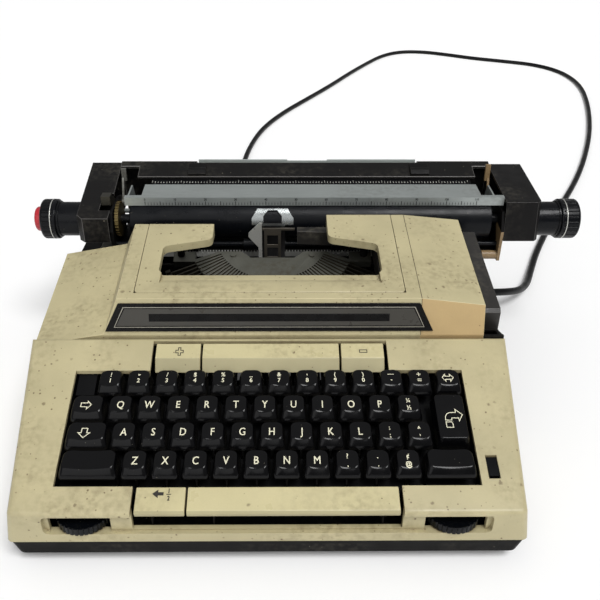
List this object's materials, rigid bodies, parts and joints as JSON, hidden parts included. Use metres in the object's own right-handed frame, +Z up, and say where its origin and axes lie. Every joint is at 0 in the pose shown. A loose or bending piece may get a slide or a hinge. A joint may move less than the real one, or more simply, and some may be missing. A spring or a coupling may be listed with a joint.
{
  "type": "portable electric typewriter",
  "caption": "Portable electric typewriter with a sliding carriage, knobbed platen, hinged lid over a type basket, sloping keyboard and a mains cord.",
  "frame": {"origin": "On the table plane, under the middle of the machine's own box with the carriage at rest; the free cord and plug are left out.", "axes": "+X runs to the typist's right along the platen, +Y to the back, +Z up."},
  "size_m": [0.7989, 1.397, 0.1503],
  "materials": {
    "beige_shell": "satin moulded, slightly yellowed",
    "dark_housing": "fine texture",
    "carriage_black": "fine texture",
    "foot_rubber": "matt",
    "nameplate_black": "smooth",
    "well_black": "matt",
    "steel": "bare sheet",
    "aluminium_scale": "grey anodised",
    "platen_rubber": "smooth",
    "knob_black": "smooth, fluted grip",
    "button_red": "smooth",
    "key_brown": "satin",
    "bar_beige": "satin, yellowed",
    "cord_rubber": "satin",
    "lever_grey": "painted",
    "lever_tan": "plated, worn",
    "motor_grey": "painted",
    "ribbon_case": "smooth"
  },
  "bodies": {
    "chassis": {"base_pan": "dark_housing", "feet": "foot_rubber", "keyboard_shell": "beige_shell", "top_cover": "beige_shell", "nameplate": "nameplate_black", "rear_cover": "dark_housing", "right_side_panel": "dark_housing", "side_frames": "steel", "key_lever_shaft": "steel", "key_well": "well_black", "carriage_rail": "steel", "card_holder": "steel", "alignment_pointer": "aluminium_scale", "motor": "motor_grey", "strain_relief": "cord_rubber", "power_cord": "cord_rubber", "cord_plug": "cord_rubber"},
    "basket": {"type_segment": "steel", "typebars": "steel"},
    "lid": {"ribbon_lid": "beige_shell"},
    "guide": {"type_guide": "steel"},
    "cartridge": {"ribbon_cartridge": "ribbon_case"},
    "roll": {"power_roll": "steel"},
    "carriage": {"carriage_frame": "carriage_black", "left_end_cover": "carriage_black", "right_end_cover": "carriage_black", "carriage_rear_cover": "carriage_black", "margin_scale": "aluminium_scale", "escapement_rack": "steel"},
    "left_stop": {"margin_stop_left": "lever_grey"},
    "right_stop": {"margin_stop_right": "lever_grey"},
    "support": {"paper_support": "aluminium_scale"},
    "bail": {"paper_bail": "aluminium_scale"},
    "platen_roll": {"platen": "platen_rubber", "left_knob": "knob_black", "right_knob": "knob_black", "ratchet_wheel": "steel"},
    "feed": {"feed_rollers": "platen_rubber"},
    "release_button": {"platen_button": "button_red"},
    "line_lever": {"line_space_lever": "lever_grey"},
    "carriage_lever": {"carriage_release_lever": "lever_grey"},
    "paper_lever": {"paper_release_lever": "lever_tan"},
    "number_row_body": {"number_row_keys": "key_brown"},
    "upper_row_body": {"upper_row_keys": "key_brown"},
    "home_row_body": {"home_row_keys": "key_brown"},
    "bottom_row_body": {"bottom_row_keys": "key_brown"},
    "left_shift_body": {"left_shift_key": "key_brown"},
    "right_shift_body": {"right_shift_key": "key_brown"},
    "shift_lock_body": {"shift_lock_key": "key_brown"},
    "tab_body": {"tab_key": "key_brown"},
    "return_body": {"return_key": "key_brown"},
    "backspace_body": {"backspace_key": "key_brown"},
    "space_bar_body": {"space_bar": "bar_beige"},
    "half_space_body": {"half_space_key": "bar_beige"},
    "tab_bar_body": {"tab_bar": "bar_beige"},
    "tab_set_body": {"tab_set_key": "bar_beige"},
    "tab_clear_body": {"tab_clear_key": "bar_beige"},
    "left_wheel": {"left_thumbwheel": "knob_black"},
    "right_wheel": {"right_thumbwheel": "knob_black"},
    "switch": {"power_switch": "knob_black"}
  },
  "joints": [
    {"name": "basket_shift", "type": "slide", "parent": "chassis", "child": "basket", "axis": [0, 0, -1], "range_m": [0, 0.006], "stiffness_N_per_m": 1500, "springref_m": -0.008},
    {"name": "lid_hinge", "type": "hinge", "parent": "chassis", "child": "lid", "pos_m": [-0.03025, -0.02236, 0.11642], "axis": [1, 0, 0], "range_deg": [0, 70]},
    {"name": "guide_lift", "type": "slide", "parent": "chassis", "child": "guide", "axis": [0, 0, 1], "range_m": [0, 0.008]},
    {"name": "cartridge_slide", "type": "slide", "parent": "chassis", "child": "cartridge", "axis": [1, 0, 0], "range_m": [0, 0.16]},
    {"name": "roll_spin", "type": "hinge", "parent": "chassis", "child": "roll", "pos_m": [-0.03065, 0.03389, 0.03], "axis": [1, 0, 0], "continuous": true},
    {"name": "carriage_slide", "type": "slide", "parent": "chassis", "child": "carriage", "axis": [1, 0, 0], "range_m": [-0.15, 0.11]},
    {"name": "left_stop_slide", "type": "slide", "parent": "carriage", "child": "left_stop", "axis": [1, 0, 0], "range_m": [-0.04, 0.16]},
    {"name": "right_stop_slide", "type": "slide", "parent": "carriage", "child": "right_stop", "axis": [1, 0, 0], "range_m": [-0.16, 0.038]},
    {"name": "support_lift", "type": "slide", "parent": "carriage", "child": "support", "axis": [0, 0, 1], "range_m": [0, 0.03]},
    {"name": "bail_pivot", "type": "hinge", "parent": "carriage", "child": "bail", "pos_m": [-0.03065, 0.12789, 0.112], "axis": [-1, 0, 0], "range_deg": [0, 16]},
    {"name": "platen_turn", "type": "hinge", "parent": "carriage", "child": "platen_roll", "pos_m": [-0.03065, 0.10289, 0.1159], "axis": [1, 0, 0], "continuous": true},
    {"name": "feed_turn", "type": "hinge", "parent": "carriage", "child": "feed", "pos_m": [-0.03065, 0.09209, 0.0972], "axis": [1, 0, 0], "continuous": true},
    {"name": "button_press", "type": "slide", "parent": "platen_roll", "child": "release_button", "axis": [1, 0, 0], "range_m": [0, 0.0025], "stiffness_N_per_m": 800, "springref_m": -0.002},
    {"name": "line_lever_pivot", "type": "hinge", "parent": "carriage", "child": "line_lever", "pos_m": [-0.03065, 0.12139, 0.12], "axis": [1, 0, 0], "range_deg": [0, 9]},
    {"name": "carriage_lever_pivot", "type": "hinge", "parent": "carriage", "child": "carriage_lever", "pos_m": [-0.03065, 0.13239, 0.1185], "axis": [1, 0, 0], "range_deg": [0, 7]},
    {"name": "paper_lever_pivot", "type": "hinge", "parent": "carriage", "child": "paper_lever", "pos_m": [-0.03065, 0.13239, 0.1185], "axis": [1, 0, 0], "range_deg": [0, 7]},
    {"name": "number_row_keys_press", "type": "hinge", "parent": "chassis", "child": "number_row_body", "pos_m": [-0.03065, 0.01589, 0.0375], "axis": [1, 0, 0], "range_deg": [0, 1.9], "stiffness_Nm_per_rad": 1, "springref_deg": -6.88},
    {"name": "upper_row_keys_press", "type": "hinge", "parent": "chassis", "child": "upper_row_body", "pos_m": [-0.03065, 0.01589, 0.0375], "axis": [1, 0, 0], "range_deg": [0, 1.7], "stiffness_Nm_per_rad": 1, "springref_deg": -6.88},
    {"name": "home_row_keys_press", "type": "hinge", "parent": "chassis", "child": "home_row_body", "pos_m": [-0.03065, 0.01589, 0.0375], "axis": [1, 0, 0], "range_deg": [0, 1.55], "stiffness_Nm_per_rad": 1, "springref_deg": -6.88},
    {"name": "bottom_row_keys_press", "type": "hinge", "parent": "chassis", "child": "bottom_row_body", "pos_m": [-0.03065, 0.01589, 0.0375], "axis": [1, 0, 0], "range_deg": [0, 1.35], "stiffness_Nm_per_rad": 1, "springref_deg": -6.88},
    {"name": "left_shift_key_press", "type": "hinge", "parent": "chassis", "child": "left_shift_body", "pos_m": [-0.03065, 0.01589, 0.0375], "axis": [1, 0, 0], "range_deg": [0, 1.35], "stiffness_Nm_per_rad": 0.5, "springref_deg": -6.88},
    {"name": "right_shift_key_press", "type": "hinge", "parent": "chassis", "child": "right_shift_body", "pos_m": [-0.03065, 0.01589, 0.0375], "axis": [1, 0, 0], "range_deg": [0, 1.35], "stiffness_Nm_per_rad": 0.5, "springref_deg": -6.88},
    {"name": "shift_lock_key_press", "type": "hinge", "parent": "chassis", "child": "shift_lock_body", "pos_m": [-0.03065, 0.01589, 0.0375], "axis": [1, 0, 0], "range_deg": [0, 1.5], "stiffness_Nm_per_rad": 0.5, "springref_deg": -6.88},
    {"name": "tab_key_press", "type": "hinge", "parent": "chassis", "child": "tab_body", "pos_m": [-0.03065, 0.01589, 0.0375], "axis": [1, 0, 0], "range_deg": [0, 1.7], "stiffness_Nm_per_rad": 0.5, "springref_deg": -6.88},
    {"name": "return_key_press", "type": "hinge", "parent": "chassis", "child": "return_body", "pos_m": [-0.03065, 0.01589, 0.0375], "axis": [1, 0, 0], "range_deg": [0, 1.5], "stiffness_Nm_per_rad": 0.5, "springref_deg": -6.88},
    {"name": "backspace_key_press", "type": "hinge", "parent": "chassis", "child": "backspace_body", "pos_m": [-0.03065, 0.01589, 0.0375], "axis": [1, 0, 0], "range_deg": [0, 1.9], "stiffness_Nm_per_rad": 0.5, "springref_deg": -6.88},
    {"name": "space_bar_press", "type": "hinge", "parent": "chassis", "child": "space_bar_body", "pos_m": [-0.03065, 0.01589, 0.0375], "axis": [1, 0, 0], "range_deg": [0, 1], "stiffness_Nm_per_rad": 1, "springref_deg": -6.88},
    {"name": "half_space_key_press", "type": "hinge", "parent": "chassis", "child": "half_space_body", "pos_m": [-0.03065, 0.01589, 0.0375], "axis": [1, 0, 0], "range_deg": [0, 1], "stiffness_Nm_per_rad": 0.5, "springref_deg": -6.88},
    {"name": "tab_bar_press", "type": "hinge", "parent": "chassis", "child": "tab_bar_body", "pos_m": [-0.03065, 0.01589, 0.0375], "axis": [1, 0, 0], "range_deg": [0, 2.2], "stiffness_Nm_per_rad": 0.5, "springref_deg": -6.88},
    {"name": "tab_set_key_press", "type": "hinge", "parent": "chassis", "child": "tab_set_body", "pos_m": [-0.03065, 0.01589, 0.0375], "axis": [1, 0, 0], "range_deg": [0, 2.2], "stiffness_Nm_per_rad": 0.5, "springref_deg": -6.88},
    {"name": "tab_clear_key_press", "type": "hinge", "parent": "chassis", "child": "tab_clear_body", "pos_m": [-0.03065, 0.01589, 0.0375], "axis": [1, 0, 0], "range_deg": [0, 2.2], "stiffness_Nm_per_rad": 0.5, "springref_deg": -6.88},
    {"name": "left_wheel_turn", "type": "hinge", "parent": "chassis", "child": "left_wheel", "pos_m": [-0.14635, -0.14611, 0.03], "axis": [0, 0, 1], "range_deg": [-60, 60]},
    {"name": "right_wheel_turn", "type": "hinge", "parent": "chassis", "child": "right_wheel", "pos_m": [0.08505, -0.14611, 0.03], "axis": [0, 0, 1], "range_deg": [-60, 60]},
    {"name": "switch_rock", "type": "hinge", "parent": "chassis", "child": "switch", "pos_m": [0.11085, -0.13361, 0.05421], "axis": [1, 0, 0], "range_deg": [-7, 7]}
  ],
  "couplings": [
    {"joint": "left_shift_key_press", "follows": "basket_shift", "rad_per_m": 3.8979},
    {"joint": "right_shift_key_press", "follows": "basket_shift", "rad_per_m": 3.8979},
    {"joint": "shift_lock_key_press", "follows": "basket_shift", "rad_per_m": 3.8979},
    {"joint": "feed_turn", "follows": "platen_turn", "ratio": -3.3}
  ]
}
